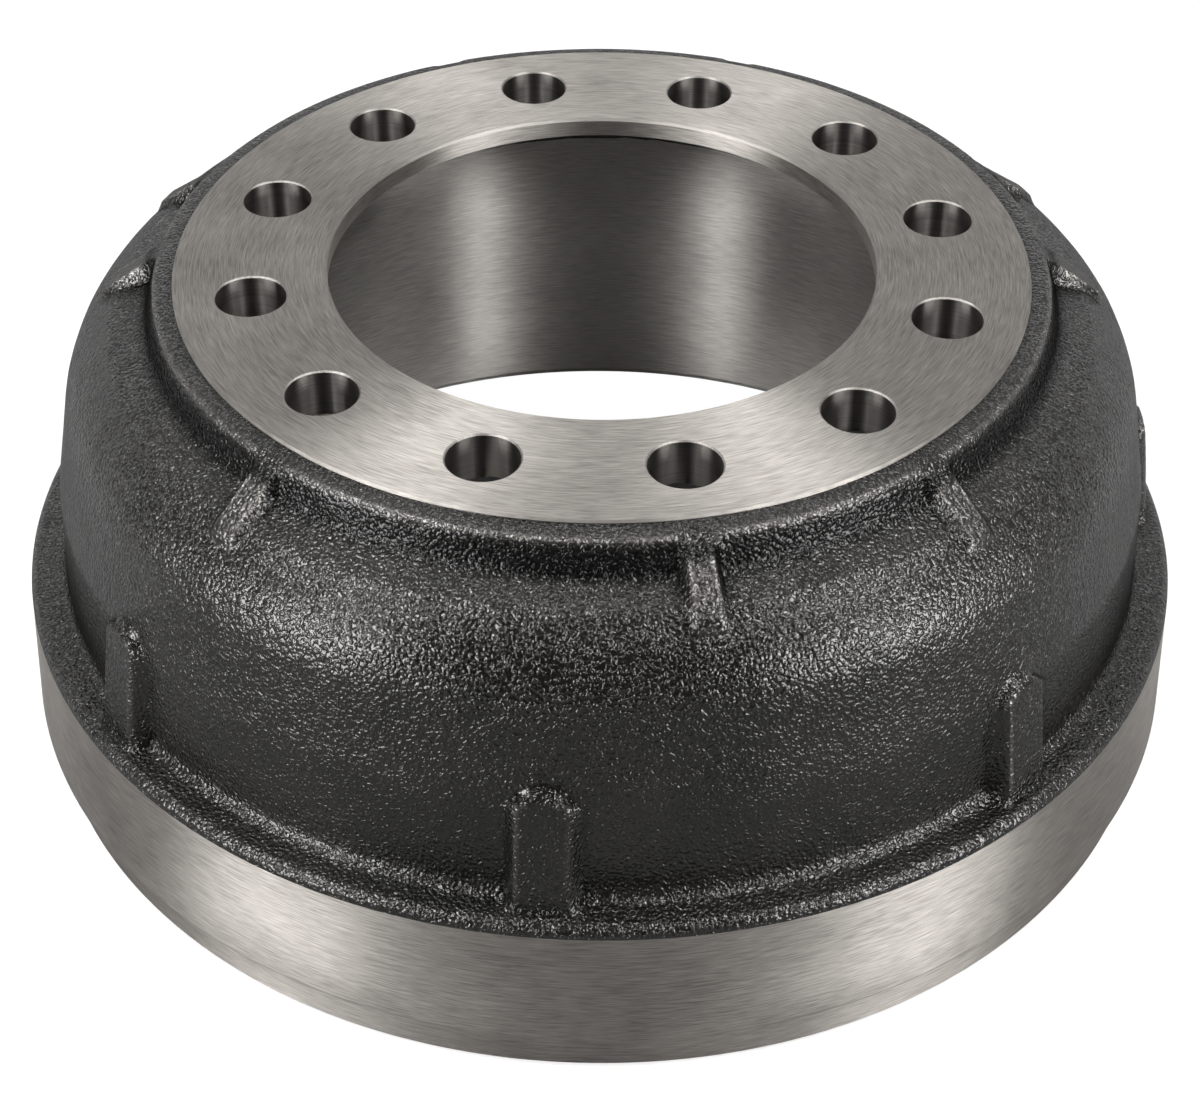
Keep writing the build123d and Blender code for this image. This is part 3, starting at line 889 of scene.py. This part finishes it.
floor_mesh = flat_sheet("floor", [
    (x * FLOOR_REACH, y * FLOOR_REACH, FLOOR_HEIGHT) for x, y in ((-1, -1), (1, -1), (1, 1), (-1, 1))])
floor = put_in_scene("floor", floor_mesh)
white_floor, tree, out = new_material("white_floor")
ray = add(tree, "ShaderNodeLightPath", {}).outputs
seen = seen_plainly(tree, ray)
place = add(tree, "ShaderNodeTexCoord", {}).outputs["Object"]
radius = from_axis(tree, place)
backwards = add(tree, "ShaderNodeSeparateXYZ", {0: place}).outputs[1]
card = add(tree, "ShaderNodeMapRange", {
    "Value": backwards, "From Min": CARD_FRONT, "From Max": CARD_BACK,
    "To Min": CARD_DARK, "To Max": CARD_PALE}).outputs[0]
sheet = add(tree, "ShaderNodeCombineXYZ", {0: card, 1: card, 2: card}).outputs[0]
open_floor = add(tree, "ShaderNodeMix", {
    "Factor": seen, 6: sheet, 7: grey(1.0)}, data_type="RGBA").outputs[2]
# Painted shade: for the camera, the floor under the drum is nearly black.
under_drum = add(tree, "ShaderNodeMix", {
    "Factor": seen, 6: grey(0.35), 7: grey(0.06)}, data_type="RGBA").outputs[2]
within = add(tree, "ShaderNodeMath", {0: radius, 1: BARREL_R * MM}, operation="LESS_THAN").outputs[0]
colour = add(tree, "ShaderNodeMix", {
    "Factor": within, 6: open_floor, 7: under_drum}, data_type="RGBA").outputs[2]
# Painted light: inside the drum, the patch seen through the pilot bore glows white though no lamp
# reaches it.
apart = add(tree, "ShaderNodeVectorMath", {0: place, 1: PATCH_CENTRE}, operation="DISTANCE")
through_bore = add(tree, "ShaderNodeMath", {
    0: apart.outputs["Value"], 1: PATCH_R}, operation="LESS_THAN").outputs[0]
patch = add(tree, "ShaderNodeMath", {0: within, 1: through_bore}, operation="MULTIPLY").outputs[0]
far = add(tree, "ShaderNodeMapRange", {
    "Value": radius, "From Min": FAR_FROM, "From Max": FAR_FULLY}).outputs[0]
unlit = add(tree, "ShaderNodeMath", {0: patch, 1: far}, operation="MAXIMUM").outputs[0]
glowing = add(tree, "ShaderNodeMath", {0: unlit, 1: seen}, operation="MULTIPLY").outputs[0]
matt = add(tree, "ShaderNodeBsdfDiffuse", {"Color": colour})
glow = add(tree, "ShaderNodeEmission", {"Color": grey(1.0), "Strength": 1.0})
mixed = add(tree, "ShaderNodeMixShader", {0: glowing, 1: matt.outputs[0], 2: glow.outputs[0]})
tree.links.new(mixed.outputs[0], out.inputs[0])
floor_mesh.materials.append(white_floor)
print("floor", tuple(floor.dimensions))

# %% [markdown]
# The world is the rest of the studio: a white backdrop behind the drum, low down, a dim ceiling above
# it and a dark room in front. The camera sees white all round. Is Glossy Ray lets the metal mirror the
# backdrop at full white, so that its upright sides show the background that stands behind them.

# %% Backdrop
DARK_ROOM, DIM_CEILING = 0.01, 0.42
world = bpy.data.worlds.new("studio")
bpy.context.scene.world = world
world.use_nodes = True
tree = world.node_tree
tree.nodes.clear()
ray = add(tree, "ShaderNodeLightPath", {}).outputs
seen = seen_plainly(tree, ray)
direction = add(tree, "ShaderNodeTexCoord", {}).outputs["Generated"]
heading = add(tree, "ShaderNodeSeparateXYZ", {0: direction}).outputs
behind = add(tree, "ShaderNodeMapRange", {
    "Value": heading[1], "From Min": -0.1, "From Max": 0.6, "To Min": DARK_ROOM, "To Max": 1.0},
    interpolation_type="SMOOTHSTEP").outputs[0]
low = add(tree, "ShaderNodeMapRange", {
    "Value": heading[2], "From Min": 0.15, "From Max": 0.5, "To Min": 1.0, "To Max": 0.0}).outputs[0]
backdrop = add(tree, "ShaderNodeMath", {
    0: low, 1: ray["Is Glossy Ray"]}, operation="MULTIPLY").outputs[0]
bright = add(tree, "ShaderNodeMapRange", {
    "Value": backdrop, "To Min": DIM_CEILING, "To Max": 1.0}).outputs[0]
room = add(tree, "ShaderNodeMath", {0: behind, 1: bright}, operation="MULTIPLY").outputs[0]
shown = add(tree, "ShaderNodeMath", {0: room, 1: seen}, operation="MAXIMUM").outputs[0]
shade = add(tree, "ShaderNodeCombineXYZ", {0: shown, 1: shown, 2: shown}).outputs[0]
sky = add(tree, "ShaderNodeBackground", {"Color": shade, "Strength": 1.0})
add(tree, "ShaderNodeOutputWorld", {"Surface": sky.outputs[0]})
print("backdrop, with a ceiling of", DIM_CEILING, "and a room of", DARK_ROOM)

# %% [markdown]
# Turned iron draws every lamp out into a streak, at the angle halfway between the lamp and the camera.
# The photograph has one pair of streaks on the band and the hub face, about thirty degrees to either
# side of the middle, which asks for lamps well to the sides: a low pair lights the band and a high
# pair the face. The left one of the high pair is a little stronger, because the shoulder shines more
# on that side of the photograph. Inside the bore the streaks stand only sixteen degrees from the
# middle, which asks for a narrow pair nearer to the camera. A wide soft box behind lifts the face and
# the crest.

# %% Lamps
AIM = (0.0, 0.0, 0.12)


def soft_box(name, place, width, height, power):
    """A rectangular lamp at place that faces AIM; all in metres and watts."""
    light = bpy.data.lights.new(name, "AREA")
    light.shape = "RECTANGLE"
    light.size, light.size_y = width, height
    light.energy = power
    lamp = put_in_scene(name, light)
    lamp.location = place
    away = np.array(place) - np.array(AIM)
    across = math.hypot(away[0], away[1])
    lamp.rotation_euler = (math.atan2(across, away[2]), 0.0, math.atan2(away[0], -away[1]))


soft_box("left_soft_box", (-1.36, -1.02, 0.42), 0.85, 0.6, 20.0)
soft_box("right_soft_box", (1.36, -1.02, 0.42), 0.85, 0.6, 20.0)
soft_box("left_high_box", (-0.95, -0.36, 1.65), 0.6, 0.6, 16.5)
soft_box("right_high_box", (0.95, -0.36, 1.65), 0.6, 0.6, 14.5)
soft_box("left_strip", (-0.85, -1.36, 1.38), 0.2, 0.5, 11.0)
soft_box("right_strip", (0.85, -1.36, 1.38), 0.2, 0.5, 11.0)
soft_box("back_soft_box", (0.0, 0.9, 1.95), 1.3, 0.6, 7.0)

# %% [markdown]
# The narrow pair must light the inside and not the shoulder in front of it. A photographer holds a
# flag there, a black cloth that throws its shadow on one place. This one hangs between the lamps and
# the shoulder, and the camera doesn't see it.

# %% Flag
FLAG_HALF_WIDTH, FLAG_PLACE, FLAG_FOOT, FLAG_TOP = 0.24, -0.42, 0.26, 0.46
flag_mesh = flat_sheet("flag", [
    (-FLAG_HALF_WIDTH, FLAG_PLACE, FLAG_FOOT), (FLAG_HALF_WIDTH, FLAG_PLACE, FLAG_FOOT),
    (FLAG_HALF_WIDTH, FLAG_PLACE, FLAG_TOP), (-FLAG_HALF_WIDTH, FLAG_PLACE, FLAG_TOP)])
flag = put_in_scene("flag", flag_mesh)
flag.visible_camera = False
black_cloth, tree, out = new_material("black_cloth")
cloth = add(tree, "ShaderNodeBsdfDiffuse", {"Color": linear("#151515")})
tree.links.new(cloth.outputs[0], out.inputs[0])
flag_mesh.materials.append(black_cloth)
print("flag from", FLAG_FOOT, "to", FLAG_TOP, "m above the floor")

# %% [markdown]
# The camera stands where the photographer's did: in front, about 41 degrees above the horizon, close
# enough for the far side of the drum to look a little smaller than the near one. Its place, turn and
# lens were fitted to the ellipses of the drum's rims in the photograph.

# %% Camera
CAMERA_PLACE = (0.0, -0.88896, 0.77748)
CAMERA_TURN = (50.9793, -0.2969, 0.2400)
SENSOR_WIDTH, LENS = 36.0, 77.32
camera_data = bpy.data.cameras.new("camera")
camera_data.sensor_fit = "HORIZONTAL"
camera_data.sensor_width = SENSOR_WIDTH
camera_data.lens = LENS
camera = put_in_scene("camera", camera_data)
camera.location = CAMERA_PLACE
camera.rotation_euler = [math.radians(angle) for angle in CAMERA_TURN]
bpy.context.scene.camera = camera
bpy.context.scene.view_settings.view_transform = "Standard"
print("camera", tuple(camera.location))
